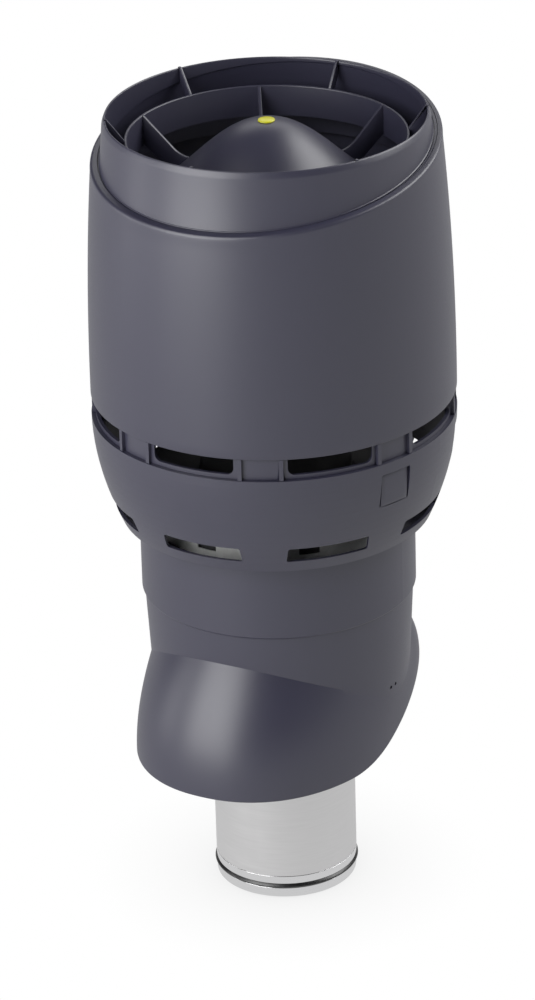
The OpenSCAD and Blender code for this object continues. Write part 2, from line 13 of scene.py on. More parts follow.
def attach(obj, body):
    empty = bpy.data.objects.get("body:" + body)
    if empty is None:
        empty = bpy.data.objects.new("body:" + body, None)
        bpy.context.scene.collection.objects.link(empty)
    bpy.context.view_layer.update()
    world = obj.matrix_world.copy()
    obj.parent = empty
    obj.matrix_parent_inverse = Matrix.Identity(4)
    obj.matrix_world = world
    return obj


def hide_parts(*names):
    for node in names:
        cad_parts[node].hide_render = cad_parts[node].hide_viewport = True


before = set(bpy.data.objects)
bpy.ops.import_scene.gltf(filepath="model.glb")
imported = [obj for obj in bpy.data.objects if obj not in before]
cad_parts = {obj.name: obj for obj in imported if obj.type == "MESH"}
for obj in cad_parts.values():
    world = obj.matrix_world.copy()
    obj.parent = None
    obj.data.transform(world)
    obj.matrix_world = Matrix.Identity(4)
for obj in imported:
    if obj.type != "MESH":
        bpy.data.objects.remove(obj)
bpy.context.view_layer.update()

MM = 0.001

# Turn of the part's front about z, in degrees.
FRONT = -90

# Camera: turn from the front, rise and roll in degrees, and the other values in mm.
CAMERA_TURN = 27.5
CAMERA_RISE = 25.4
CAMERA_ROLL = 1.658
CAMERA_DISTANCE = 4191.8
CAMERA_AIM_SIDE = -8.19
CAMERA_AIM_Z = 359.35
CAMERA_LENS = 174.6

# Roundings, play and overlaps that many pieces share, and angles up to which edges are soft.
FINE_ROUND, SMALL_ROUND, EDGE_ROUND, WIDE_ROUND = 0.3, 0.4, 0.5, 0.6
FIT, SEAM, OVERLAP = 0.3, 0.25, 1.0
SMOOTH_ANGLE, CRISP_ANGLE, CORNER_ANGLE = 35, 24, 40

# Points round a turned piece: usual, fine and small ones, hinge bars and drilled holes.
ROUND_N, FINE_N, SMALL_N, BAR_N, HOLE_N = 192, 288, 64, 24, 32

# Drum and crown. The MID values are the radii at which the slanted edges are measured.
DRUM_R, DRUM_Z, DRUM_WALL, DRUM_TAPER, DRUM_POWER = 156.6, 469.4, 2.2, 9.3, 2.1
SHOULDER_Z, SHOULDER_TILT, SHOULDER_ROUND = 689.5, 9.6, 3.0
OPENING_R = 142.3
RIM_R, RIM_Z, RIM_W, BEVEL_H, CROWN_FLARE = 135.8, 716.2, 1.8, 5.0, 0.09
CROWN_LOW_Z, CROWN_WALL = 646.2, 2.6
FLANGE_T, FLANGE_REACH = 2.4, 2.0
BEAD_W, BEAD_H, LINE_W, LINE_DEPTH = 0.7, 0.6, 0.7, 1.3
STEP_Z, STEP_TILT, STEP_W = 694.0, 8.1, 1.4
EDGE_MID_R, BEAD_MID_R, STEP_MID_R = 148, 139, 134
RIM_ROUND_H = 0.9

# Grille and dome.
RING_R, RING_H, RING_TOP, RING_WALL = 119.4, 28.0, 696.7, 2.5
ARM_N, ARM_T, ARM_FLAT_Z, ARM_DEPTH, POST_R = 6, 2.6, 665.2, 13.0, 9.0
DOME_R, DOME_Z, DOME_WALL, BELL_H, BELL_W = 90.0, 709.4, 2.5, 37.0, 125.0
PLUG_R, PLUG_T, POCKET_R, POCKET_H, FLOOR_T = 7.1, 1.8, 6.2, 10.0, 4.0
DOME_FLAT_R, DOME_EDGE, BOSS_WALL = 4.0, 0.8, 2.5
SCREW_HOLE_R = 2.8

# Casing and roof boot.
CASING_TOP_R, CASING_LOW_R, CASING_WALL = 116.9, 112.3, 3.0
COLLAR_Z, SPIGOT_R, SPIGOT_TOP_Z = 284.2, 115.1, 333.2
CREASE_Z, CREASE_RISE, CREASE_LEAN, CREASE_POWER = 192.3, 57.0, 5.0, 0.57
HOOD_TURN = 2.0
BOOT_L, BOOT_W, BOOT_SHIFT, BOOT_POWER = 297.6, 227.0, 7.0, 2.2
EDGE_FRONT_Z, EDGE_REAR_Z, EDGE_CLIMB_Y, EDGE_CLIMB_L = 144.4, 202.0, 75.0, 200.0
STUB_TOP_Z, STUB_LOW_Z = 262.0, 190.0
FIX_HOLE_R, FIX_HOLE_Z, FIX_TURNS = 1.6, 206.0, (84, 88, -84, -88)
DRILL_L = 18.0
CREASE_SOFTNESS, CREASE_SINK, INSET_AT_CREASE, BOOT_EDGE = 0.01, 0.02, 0.4, 0.7

# Steel duct and coupling.
DUCT_R, DUCT_WALL, DUCT_TOP_Z = 62.5, 1.0, 401.0
COUPLING_H, COUPLING_REACH, HEM_H, LIP_H, LIP_REACH = 20.5, 34.0, 8.6, 4.6, 1.3
COUPLING_WALL, HEM_OUT = 1.0, 0.8

# Fits between cowl, base and dome.
LEDGE_Z, BAND_H, BOWL_R, LEDGE_W, BOWL_WALL = 449.8, 42.0, 156.6, 3.8, 3.0
SEAT_Z, SEAT_T = LEDGE_Z + BAND_H + SEAM, 3.0
LEG_GAP, LEG_T, LEG_W = 0.9, 2.4, 22.0
LEG_R = BOWL_R - LEDGE_W - BOWL_WALL - LEG_GAP
BOWL_LOW_Z, BOWL_NARROW, BOWL_POWER = 356.4, 21.9, 1.93
TONGUE_Z, TONGUE_H, TONGUE_TURNS = 408.5, 31.2, (22.5, 157.5, 202.5, 337.5)
TONGUE_SIDES = ("rear_right", "rear_left", "front_left", "front_right")
TONGUE_W, TONGUE_GAP, TONGUE_LINE, TONGUE_SINK = 32.0, 0.8, 1.4, 2.1
TONGUE_DEPTH = 1.05 * BOWL_WALL
KEY_W, KEY_EDGE, KEY_SLOT, LEG_END_H, KEY_TOP_H = 6.0, 8.0, 7.2, 6.0, 4.0
LEG_END_Z, KEY_TOP_Z = TONGUE_Z + LEG_END_H, TONGUE_Z + TONGUE_H + KEY_TOP_H
HINGE_R, HINGE_BEAD_R = 150.146, 1.1
SCREW_HEAD_ROOM, NUB_H = 4.8, 0.7
BOSS_Z = DOME_Z - POCKET_H - FLOOR_T
STEM_Z = BOSS_Z + FLOOR_T + SCREW_HEAD_ROOM

# Studio, in metres. Brightness is a share of white, for diffuse light, in reflections, and
# for the floor in full shade.
FLOOR_DROP, FLOOR_HALF, FLOOR_GREY = 0.002, 12, 0.8
ROOM, MIRRORED_LOW, MIRRORED_HIGH, MIRROR_FADE, FLOOR_MIRRORED = 0.06, 0.5, 0.02, 0.2, 0.62
SHADOW, SHADOW_REACH, SHADOW_SAMPLES = 0.75, 0.12, 8
LAMP_AIM_Z = 0.4
WHITE = (1, 1, 1)


# Forms that several pieces follow

def drum_at(z):
    """Radius of the drum's outside at a height."""
    return DRUM_R - DRUM_TAPER * max(0.0, (z - DRUM_Z) / (SHOULDER_Z - DRUM_Z)) ** DRUM_POWER


def crown_at(z):
    """Radius of the crown's outside at a height, below its bevel."""
    return RIM_R + RIM_W + CROWN_FLARE * (RIM_Z - BEVEL_H - z)


def dome_at(r):
    """Height of the dome's surface at a radius."""
    return DOME_Z - BELL_H * (1 - cos(pi / BELL_W * max(0.0, r - DOME_FLAT_R)))


def casing_r(z):
    """Radius of the casing's outside at a height."""
    return CASING_LOW_R + (CASING_TOP_R - CASING_LOW_R) * (z - CREASE_Z) / (COLLAR_Z - CREASE_Z)


def bowl_at(z):
    """Radius of the bowl's outside at a height."""
    share = max(0.0, (LEDGE_Z - z) / (LEDGE_Z - BOWL_LOW_Z))
    return BOWL_R - BOWL_NARROW * share ** BOWL_POWER


def boot_edge_z(a):
    """Height of the boot's lower edge at a distance towards the front."""
    t = min(1.0, max(0.0, (EDGE_CLIMB_Y - a) / EDGE_CLIMB_L))
    return EDGE_FRONT_Z + (EDGE_REAR_Z - EDGE_FRONT_Z) * (1 - cos(pi * t)) / 2


def boot_edge_r(turn):
    """Radius of the boot's lower edge about its own middle, at a turn from the front."""
    side = abs(sin(turn)) / (BOOT_W / 2)
    long = abs(cos(turn)) / (BOOT_L / 2)
    return (side ** BOOT_POWER + long ** BOOT_POWER) ** (-1 / BOOT_POWER)


def crease_at(turn):
    """Height of the crease at a turn from the front."""
    rise = CREASE_RISE + CREASE_LEAN * cos(turn)
    return CREASE_Z + rise * (cos(turn) ** 2 + CREASE_SOFTNESS) ** CREASE_POWER


def boot_point(turn, t, inset):
    """A point of the boot's wall: t runs from the crease to the lower edge, inset goes inwards."""
    top_z = crease_at(turn)
    spread_out = 1 - (1 - t) ** HOOD_TURN
    low_r = boot_edge_r(turn)
    low_z = boot_edge_z(low_r * cos(turn) + BOOT_SHIFT)
    top_r = casing_r(top_z) - CREASE_SINK
    depth = inset * (INSET_AT_CREASE + (1 - INSET_AT_CREASE) * spread_out)
    r = top_r + (low_r - top_r) * spread_out - depth
    y = -r * cos(turn) - BOOT_SHIFT * spread_out
    return (r * sin(turn), y, top_z + (low_z - top_z) * t)


def spaced(low, high, steps):
    """Evenly spaced values from low to high, both included."""
    return [low + (high - low) * k / steps for k in range(steps + 1)]


def rounded(points, steps=4):
    """A closed outline whose corners are rounded. Each point is (r, z) or (r, z, radius)."""
    out = []
    count = len(points)
    for i, point in enumerate(points):
        radius = point[2] if len(point) > 2 else 0
        here = Vector(point[:2])
        if not radius:
            out.append(tuple(here))
            continue
        back = Vector(points[i - 1][:2]) - here
        ahead = Vector(points[(i + 1) % count][:2]) - here
        half_side = 0.49 * min(back.length, ahead.length)
        reach = min(radius, half_side)
        start = here + back.normalized() * reach
        end = here + ahead.normalized() * reach
        for u in spaced(0, 1, steps):
            p = start * (1 - u) ** 2 + here * 2 * u * (1 - u) + end * u ** 2
            out.append(tuple(p))
    return out


# Making pieces

def add_object(name, data):
    """An object with its data in the scene."""
    thing = bpy.data.objects.new(name, data)
    bpy.context.scene.collection.objects.link(thing)
    return thing


def add_piece(name, mesh, material, body):
    """A piece of one material that rides on a body."""
    piece = add_object(name, mesh)
    mesh.materials.append(material)
    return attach(piece, body)


def add_mesh(name, points, faces, material, body, smooth=SMOOTH_ANGLE):
    """A piece from points in mm, shaded smooth up to an angle."""
    mesh = bpy.data.meshes.new(name)
    mesh.from_pydata([tuple(c * MM for c in p) for p in points], [], faces)
    mesh.validate()
    mesh.shade_smooth()
    mesh.set_sharp_from_angle(angle=radians(smooth))
    tidy_normals(mesh)
    return add_piece(name, mesh, material, body)


def add_shape(name, shape, material, body):
    """A piece from a shape that is already in metres."""
    mesh = bpy.data.meshes.new(name)
    shape.to_mesh(mesh)
    shape.free()
    mesh.shade_smooth()
    mesh.set_sharp_from_angle(angle=radians(SMOOTH_ANGLE))
    return add_piece(name, mesh, material, body)


def tidy_normals(mesh):
    """Turns all the faces of a mesh outwards."""
    shape = bmesh.new()
    shape.from_mesh(mesh)
    bmesh.ops.recalc_face_normals(shape, faces=shape.faces)
    shape.to_mesh(mesh)
    shape.free()


def lofted(name, section, count, material, body, smooth=SMOOTH_ANGLE):
    """A closed section for each turn, joined all round. section gives points in mm."""
    rings = [section(2 * pi * i / count) for i in range(count)]
    size = len(rings[0])
    points = [p for ring in rings for p in ring]
    faces = []
    for i in range(count):
        a, b = i * size, (i + 1) % count * size
        for k in range(size):
            n = (k + 1) % size
            faces.append((a + k, b + k, b + n, a + n))
    return add_mesh(name, points, faces, material, body, smooth)


def turned(name, outline, material, body, count=ROUND_N, smooth=SMOOTH_ANGLE):
    """A closed outline of r and z, turned about the duct's axis."""
    def section(turn):
        return [(r * cos(turn), r * sin(turn), z) for r, z in outline]
    return lofted(name, section, count, material, body, smooth)


def round_edges(shape, edges, size):
    """Rounds the edges of a shape and turns its faces outwards."""
    bmesh.ops.bevel(shape, geom=edges, offset=size, segments=2, profile=0.5, affect="EDGES")
    bmesh.ops.recalc_face_normals(shape, faces=shape.faces)


def plate(name, turn, thickness, outline, material, body, edge=EDGE_ROUND):
    """A flat plate on the axis plane at a turn in degrees, with rounded edges."""
    shape = bmesh.new()
    face = shape.faces.new([shape.verts.new((r, -thickness / 2, z)) for r, z in outline])
    grown = bmesh.ops.extrude_face_region(shape, geom=[face])
    moved = [v for v in grown["geom"] if isinstance(v, bmesh.types.BMVert)]
    bmesh.ops.translate(shape, verts=moved, vec=(0, thickness, 0))
    round_edges(shape, shape.edges[:], edge)
    bmesh.ops.transform(shape, matrix=Matrix.Rotation(radians(turn), 4, "Z"), verts=shape.verts)
    bmesh.ops.scale(shape, vec=(MM, MM, MM), verts=shape.verts)
    return add_shape(name, shape, material, body)


def between(name, front, back, material, body, edge=SMALL_ROUND):
    """A closed piece between two grids of points in mm, with rounded edges."""
    shape = bmesh.new()
    sides = [[[shape.verts.new(p) for p in row] for row in grid] for grid in (front, back)]
    rows, columns = len(front), len(front[0])
    for grid in sides:
        for i in range(rows - 1):
            for k in range(columns - 1):
                shape.faces.new((grid[i][k], grid[i][k + 1], grid[i + 1][k + 1], grid[i + 1][k]))
    rim = [(0, k) for k in range(columns - 1)]
    rim += [(i, columns - 1) for i in range(rows - 1)]
    rim += [(rows - 1, k) for k in range(columns - 1, 0, -1)]
    rim += [(i, 0) for i in range(rows - 1, 0, -1)]
    near, far = sides
    for (i, k), (n, m) in zip(rim, rim[1:] + rim[:1]):
        shape.faces.new((near[i][k], near[n][m], far[n][m], far[i][k]))
    bmesh.ops.recalc_face_normals(shape, faces=shape.faces)
    sharp = [e for e in shape.edges if e.calc_face_angle(0) > radians(CORNER_ANGLE)]
    round_edges(shape, sharp, edge)
    bmesh.ops.scale(shape, vec=(MM, MM, MM), verts=shape.verts)
    return add_shape(name, shape, material, body)


def round_bar(radius, length, sides, turn, r, z, axis):
    """A round bar in metres, at a turn in degrees, a radius and a height, laid along X or Y."""
    shape = bmesh.new()
    place = Matrix.Rotation(radians(turn), 4, "Z")
    place @= Matrix.Translation((r * MM, 0, z * MM))
    place @= Matrix.Rotation(radians(90), 4, axis)
    bmesh.ops.create_cone(shape, cap_ends=True, segments=sides, radius1=radius * MM,
                          radius2=radius * MM, depth=length * MM, matrix=place)
    return shape


# Materials

# A noise texture lies mostly between these two values.
NOISE_LOW, NOISE_HIGH = 0.3, 0.7


def new_material(name, colour, roughness, metallic=0.0):
    """A principled material and its nodes, with even values on the shader's own sockets."""
    material = bpy.data.materials.new(name)
    material.use_nodes = True
    nodes = material.node_tree.nodes
    shader = nodes["Principled BSDF"]
    shader.inputs["Base Color"].default_value = (*colour, 1)
    shader.inputs["Roughness"].default_value = roughness
    shader.inputs["Metallic"].default_value = metallic
    shader.inputs["Specular IOR Level"].default_value = 0.5 if metallic else 1.0
    return material, nodes, material.node_tree.links, shader


def noise(nodes, links, scale, detail, stretch=(1, 1, 1)):
    """A noise texture in the part's own coordinates, stretched if asked."""
    place = nodes.new("ShaderNodeTexCoord")
    mapping = nodes.new("ShaderNodeMapping")
    mapping.inputs["Scale"].default_value = stretch
    texture = nodes.new("ShaderNodeTexNoise")
    texture.inputs["Scale"].default_value = scale
    texture.inputs["Detail"].default_value = detail
    links.new(place.outputs["Object"], mapping.inputs["Vector"])
    links.new(mapping.outputs["Vector"], texture.inputs["Vector"])
    return texture


def vary_colour(nodes, links, shader, texture, low, high):
    """The base colour runs between two colours with a texture."""
    ramp = nodes.new("ShaderNodeValToRGB")
    ends = ramp.color_ramp.elements
    for end, colour, place in ((ends[0], low, NOISE_LOW), (ends[1], high, NOISE_HIGH)):
        end.color = (*colour, 1)
        end.position = place
    links.new(texture.outputs["Fac"], ramp.inputs["Fac"])
    links.new(ramp.outputs["Color"], shader.inputs["Base Color"])


def vary_roughness(nodes, links, shader, texture, low, high):
    """The roughness runs between two values with a texture."""
    span = nodes.new("ShaderNodeMapRange")
    span.inputs["From Min"].default_value = NOISE_LOW
    span.inputs["From Max"].default_value = NOISE_HIGH
    span.inputs["To Min"].default_value = low
    span.inputs["To Max"].default_value = high
    links.new(texture.outputs["Fac"], span.inputs["Value"])
    links.new(span.outputs["Result"], shader.inputs["Roughness"])


def add_bump(nodes, links, shader, texture, strength, depth):
    """A fine relief from a texture. depth is in metres."""
    bump = nodes.new("ShaderNodeBump")
    bump.inputs["Strength"].default_value = strength
    bump.inputs["Distance"].default_value = depth
    links.new(texture.outputs["Fac"], bump.inputs["Height"])
    links.new(bump.outputs["Normal"], shader.inputs["Normal"])


def scaled(colour, factor):
    """A colour made lighter or darker."""
    return tuple(c * factor for c in colour)


def moulded_plastic(name, colour, roughness):
    """Moulded plastic: a fine grain, slight flow marks and a satin sheen."""
    material, nodes, links, shader = new_material(name, colour, roughness)
    flow = noise(nodes, links, scale=9.0, detail=3.0, stretch=(1, 1, 0.35))
    vary_colour(nodes, links, shader, flow, scaled(colour, 0.97), scaled(colour, 1.03))
    grain = noise(nodes, links, scale=900.0, detail=2.0)
    vary_roughness(nodes, links, shader, grain, roughness - 0.03, roughness + 0.03)
    add_bump(nodes, links, shader, grain, strength=0.12, depth=0.00006)
    return material


def sheet_steel(name, colour, roughness, streak, spread):
    """Rolled sheet steel with faint streaks round the pipe, as fine and as dark as asked."""
    material, nodes, links, shader = new_material(name, colour, roughness, metallic=1.0)
    streaks = noise(nodes, links, scale=streak, detail=5.0, stretch=(1, 1, 14))
    vary_colour(nodes, links, shader, streaks, scaled(colour, 1 - spread), colour)
    vary_roughness(nodes, links, shader, streaks, roughness - 0.05, roughness + 0.05)
    add_bump(nodes, links, shader, streaks, strength=0.05, depth=0.00005)
    return material


def zinc_spangle(name, colour, roughness):
    """Galvanised sheet with the crystals of its zinc."""
    material, nodes, links, shader = new_material(name, colour, roughness, metallic=0.3)
    cells = nodes.new("ShaderNodeTexVoronoi")
    cells.inputs["Scale"].default_value = 160.0
    place = nodes.new("ShaderNodeTexCoord")
    links.new(place.outputs["Object"], cells.inputs["Vector"])
    grey = nodes.new("ShaderNodeRGBToBW")
    links.new(cells.outputs["Color"], grey.inputs["Color"])
    ramp = nodes.new("ShaderNodeValToRGB")
    ramp.color_ramp.elements[0].color = (*scaled(colour, 0.86), 1)
    ramp.color_ramp.elements[1].color = (*colour, 1)
    links.new(grey.outputs["Val"], ramp.inputs["Fac"])
    links.new(ramp.outputs["Color"], shader.inputs["Base Color"])
    return material


def foam(name, colour):
    """Pressed insulation foam with its beads."""
    material, nodes, links, shader = new_material(name, colour, roughness=0.9)
    beads = noise(nodes, links, scale=260.0, detail=3.0)
    vary_colour(nodes, links, shader, beads, scaled(colour, 0.85), scaled(colour, 1.05))
    add_bump(nodes, links, shader, beads, strength=0.6, depth=0.0008)
    return material


BLUE_GREY, NEAR_BLACK, BLACK = (0.036, 0.035, 0.062), (0.012, 0.012, 0.014), (0.006, 0.006, 0.007)
PALE_STEEL, BRIGHT_STEEL, GREY_STEEL = (0.86, 0.855, 0.86), (0.93, 0.93, 0.94), (0.55, 0.55, 0.56)

COWL = moulded_plastic("cowl_plastic", BLUE_GREY, roughness=0.4)
INNER = moulded_plastic("inner_plastic", NEAR_BLACK, roughness=0.5)
YELLOW = moulded_plastic("plug_plastic", (0.66, 0.64, 0.012), roughness=0.3)
STEEL = sheet_steel("duct_steel", PALE_STEEL, roughness=0.42, streak=40.0, spread=0.04)
POLISHED = sheet_steel("polished_steel", BRIGHT_STEEL, roughness=0.12, streak=60.0, spread=0.03)
FASTENER = sheet_steel("fastener_steel", GREY_STEEL, roughness=0.3, streak=300.0, spread=0.08)
ZINC = zinc_spangle("zinc_sheet", (0.8, 0.81, 0.79), roughness=0.45)
RUBBER = moulded_plastic("seal_rubber", BLACK, roughness=0.32)
FOAM = foam("insulation_foam", (0.03, 0.03, 0.032))


# Drum and crown

def shoulder_slope(turn):
    """How fast the shoulder climbs per mm of radius at a turn."""
    return tan(radians(SHOULDER_TILT)) * sin(turn)


def crown_out(z):
    """Radius of the crown's outside at a height, its bevel included."""
    bevel_z = RIM_Z - BEVEL_H
    share = min(1.0, max(0.0, (z - bevel_z) / (BEVEL_H - RIM_ROUND_H)))
    return crown_at(min(z, bevel_z)) - (RIM_W - 0.2) * share


def bead_at(turn):
    """Outer radius of the bead round the crown's foot at a turn."""
    return crown_out(SHOULDER_Z + BEAD_MID_R * shoulder_slope(turn)) + BEAD_W


def drum_section(turn):
    """The drum's wall and its slanted shoulder, down to the crown's opening, in one section."""
    slope = shoulder_slope(turn)
    wall_top = SHOULDER_Z + EDGE_MID_R * slope - 2.2 * SHOULDER_ROUND
    outer = [(drum_at(z), z) for z in spaced(DRUM_Z + 1, wall_top, 22)]
    top_r = outer[-1][0]
    lip_r = max(OPENING_R, bead_at(turn) + LINE_W)
    top = SHOULDER_Z + lip_r * slope
    edge = SHOULDER_Z + top_r * slope
    chamfer = rounded([(top_r, wall_top), (top_r - 0.1, edge, SHOULDER_ROUND),
                       (lip_r + FINE_ROUND, top)])
    under_r = max(lip_r + EDGE_ROUND, top_r - DRUM_WALL - 2)
    lip = [(lip_r, top - FINE_ROUND), (lip_r, top - DRUM_WALL),
           (under_r, top - DRUM_WALL + (under_r - lip_r) * slope)]
    inner = [(drum_at(z) - DRUM_WALL, z) for z in spaced(wall_top - 1.3, DRUM_Z + 0.7, 6)]
    low = [(DRUM_R - DRUM_WALL + EDGE_ROUND, DRUM_Z), (DRUM_R - WIDE_ROUND, DRUM_Z),
           (DRUM_R - WIDE_ROUND / 4, DRUM_Z + FINE_ROUND)]
    return [(r * cos(turn), r * sin(turn), z) for r, z in outer + chamfer[1:] + lip + inner + low]


def crown_section(turn):
    """The crown's wall with its rim, inner step, foot bead and flange in one section."""
    slope = shoulder_slope(turn)
    bead_r = bead_at(turn)
    bead_z = SHOULDER_Z + bead_r * slope
    foot = bead_z + BEAD_H
    bevel_z = max(RIM_Z - BEVEL_H, foot + WIDE_ROUND)
    step_slope = tan(radians(STEP_TILT)) * sin(turn)
    step = min(STEP_Z + STEP_MID_R * step_slope, RIM_Z - 2.6)
    bore = RIM_R - RIM_W
    sill_r = OPENING_R - SEAM
    sill_in = min(bead_r + LINE_W, sill_r)
    flange_z = SHOULDER_Z + sill_r * slope - DRUM_WALL - SEAM
    flange_r = min(sill_r + FLANGE_REACH, drum_at(flange_z) - DRUM_WALL - FIT)
    line_z = SHOULDER_Z + sill_in * slope - LINE_DEPTH
    sill_z = line_z + (LINE_DEPTH - 0.1) * min(1.0, (sill_r - sill_in) / WIDE_ROUND)
    outline = rounded([
        (crown_out(foot + 0.2), foot + 0.2, 0.2),
        (crown_out(bevel_z), bevel_z, 1.2),
        (RIM_R + 0.2, RIM_Z - RIM_ROUND_H, EDGE_ROUND),
        (RIM_R - EDGE_ROUND, RIM_Z, SMALL_ROUND),
        (bore + SMALL_ROUND, RIM_Z, SMALL_ROUND),
        (bore, RIM_Z - RIM_ROUND_H, EDGE_ROUND),
        (bore, step, FINE_ROUND),
        (bore + STEP_W, step - RIM_ROUND_H, FINE_ROUND),
        (crown_at(CROWN_LOW_Z) - CROWN_WALL, CROWN_LOW_Z, WIDE_ROUND),
        (crown_at(CROWN_LOW_Z), CROWN_LOW_Z, WIDE_ROUND),
        (crown_at(flange_z - FLANGE_T), flange_z - FLANGE_T),
        (flange_r, flange_z - FLANGE_T, FINE_ROUND),
        (flange_r, flange_z, FINE_ROUND),
        (sill_r, flange_z - 0.1),
        (sill_r, sill_z + (sill_r - sill_in) * slope),
        (sill_in, sill_z),
        (sill_in, line_z),
        (min(bead_r, sill_in) - 0.1, line_z),
        (bead_r, bead_z - EDGE_ROUND, 0.2),
        (bead_r, foot - FINE_ROUND, FINE_ROUND),
    ], 3)
    return [(r * cos(turn), r * sin(turn), z) for r, z in outline]


def build_drum():
    """The drum and the crown that stands in its opening."""
    drum = lofted("cowl_drum_skin", drum_section, FINE_N, COWL, "cowl", smooth=32)
    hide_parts("cowl_drum")
    crown = lofted("crown_skin", crown_section, FINE_N, COWL, "cowl", smooth=32)
    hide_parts("crown_collar")


# Seat ring and latch tongues

def build_seat_ring():
    """The seat ring inside the drum and its four forked legs."""
    ring_high = SEAT_Z + SEAT_T
    reach = drum_at(ring_high) - DRUM_WALL - SEAM
    inside = LEG_R - LEG_T - OVERLAP
    ring = turned("seat_ring_band", rounded([
        (inside, SEAT_Z, EDGE_ROUND), (reach, SEAT_Z),
        (reach, ring_high), (inside, ring_high, EDGE_ROUND)]), COWL, "cowl")
    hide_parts("seat_ring")
    half = degrees(LEG_W / 2 / LEG_R)
    slot_half = degrees(KEY_SLOT / 2 / LEG_R)
    for turn in TONGUE_TURNS:
        for side in (-1, 1):
            mid = turn + side * (half + slot_half) / 2
            prong = curved_slab(f"seat_leg_{turn:g}_{'left' if side < 0 else 'right'}",
                                mid, (half - slot_half) / 2, LEG_R - LEG_T, LEG_R,
                                LEG_END_Z, KEY_TOP_Z + OVERLAP)
        web = curved_slab(f"seat_leg_{turn:g}_web", turn, half, LEG_R - LEG_T, LEG_R,
                          KEY_TOP_Z, SEAT_Z + OVERLAP)


def curved_slab(name, turn, half, r_in, r_out, low, high):
    """A piece of a tube's wall between two heights, with rounded edges."""
    turns = [radians(t) for t in spaced(turn - half, turn + half, 6)]

    def side(r):
        return [[(r * cos(a), r * sin(a), z) for a in turns] for z in (low, high)]

    return between(name, side(r_out), side(r_in), COWL, "cowl")


def build_tongues():
    """The four latch tongues, whose faces sink in towards their upper edges."""
    low = TONGUE_Z + TONGUE_GAP
    high = TONGUE_Z + TONGUE_H - TONGUE_LINE
    half = TONGUE_W / 2 - TONGUE_LINE
    rows, columns = 8, 6
    for turn, side in zip(TONGUE_TURNS, TONGUE_SIDES):
        name = f"latch_tongue_{side}"
        grids = {"face": [], "back": []}
        for z in spaced(low, high, rows):
            face_r = bowl_at(z) - TONGUE_SINK * (z - low) / (high - low)
            for grid, r in (("face", face_r), ("back", bowl_at(z) - TONGUE_DEPTH)):
                turns = [radians(turn) + asin(u / r) for u in spaced(-half, half, columns)]
                grids[grid].append([(r * cos(a), r * sin(a), z) for a in turns])
        face = between(f"{name}_face", grids["face"], grids["back"], COWL, name, FINE_ROUND)
        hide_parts(name)
        key_low = TONGUE_Z + KEY_EDGE
        key_high = key_low + TONGUE_H - 2 * KEY_EDGE
        key = plate(f"{name}_key", turn, KEY_W, [
            (LEG_R - LEG_T, key_low), (bowl_at(key_low) - BOWL_WALL, key_low),
            (bowl_at(key_high) - BOWL_WALL, key_high), (LEG_R - LEG_T, key_high)], COWL, name)
        bar = hinge_bar(f"{name}_hinge", turn, name)


def hinge_bar(name, turn, body):
    """The bar along a tongue's lower edge that it turns on."""
    length = TONGUE_W - 2 * TONGUE_GAP
    bar = round_bar(HINGE_BEAD_R, length, BAR_N, turn, HINGE_R, TONGUE_Z + FIT, "X")
    return add_shape(name, bar, COWL, body)


# Grille, dome and plug

def build_grille():
    """The ring, its arms to the rim and to the dome, and the post under the dome."""
    low = RING_TOP - RING_H
    low_round, top_round = 0.8, 1.1
    ring = turned("grille_ring", rounded([
        (RING_R - RING_WALL, low, low_round), (RING_R, low, low_round),
        (RING_R, RING_TOP, top_round), (RING_R - RING_WALL, RING_TOP, top_round)]),
        COWL, "cowl")
    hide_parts("crown_grille")
    reach = RIM_R - RIM_W - FIT
    ring_in = RING_R - OVERLAP
    post_in = POST_R - OVERLAP
    nub_r, nub_low = RIM_R + 0.4, RIM_Z + 0.1
    outer = [
        (ring_in, RING_TOP - ARM_DEPTH - 1), (ring_in, RING_TOP),
        (reach - 0.5, RIM_Z + NUB_H), (nub_r, RIM_Z + NUB_H),
        (nub_r, nub_low), (reach, nub_low), (reach, RIM_Z - ARM_DEPTH)]
    flat = ARM_FLAT_Z
    flat_low = flat - ARM_DEPTH
    inner = rounded([
        (post_in, flat_low), (post_in, flat), (DOME_R - 8, flat, 9.0),
        (RING_R - RING_WALL, RING_TOP), (ring_in, RING_TOP), (ring_in, low + 3),
        (DOME_R + 6, flat_low + 2), (DOME_R, flat_low)], 6)
    for i in range(ARM_N):
        outside = plate(f"rim_arm_{i + 1}", (i + 0.5) * 360 / ARM_N, ARM_T, outer, COWL, "cowl")
        inside = plate(f"dome_arm_{i + 1}", i * 360 / ARM_N, ARM_T, inner, COWL, "cowl")
    post_top = BOSS_Z - 0.1
    post = turned("grille_post", rounded([
        (SCREW_HOLE_R, flat_low), (POST_R, flat_low, low_round),
        (POST_R, post_top), (SCREW_HOLE_R, post_top)]), COWL, "cowl", SMALL_N)


def build_dome():
    """The bell of the dome with the pocket for its screw and plug."""
    drop = 1.3 * DOME_WALL
    edge_z = dome_at(DOME_R)
    bell = spaced(POCKET_R, DOME_R - DOME_EDGE, 40)
    outline = [(r, dome_at(r)) for r in bell]
    outline += [(DOME_R, edge_z - 0.9), (DOME_R, edge_z - drop + DOME_EDGE)]
    under = [r for r in reversed(bell) if r > POCKET_R + 3]
    outline += [(r, dome_at(r) - drop) for r in under]
    outline += [(POCKET_R + BOSS_WALL, BOSS_Z), (SCREW_HOLE_R, BOSS_Z),
                (SCREW_HOLE_R, BOSS_Z + FLOOR_T), (POCKET_R, BOSS_Z + FLOOR_T)]
    dome = turned("dome_bell", outline, COWL, "cowl", smooth=40)
    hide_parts("deflector_dome")


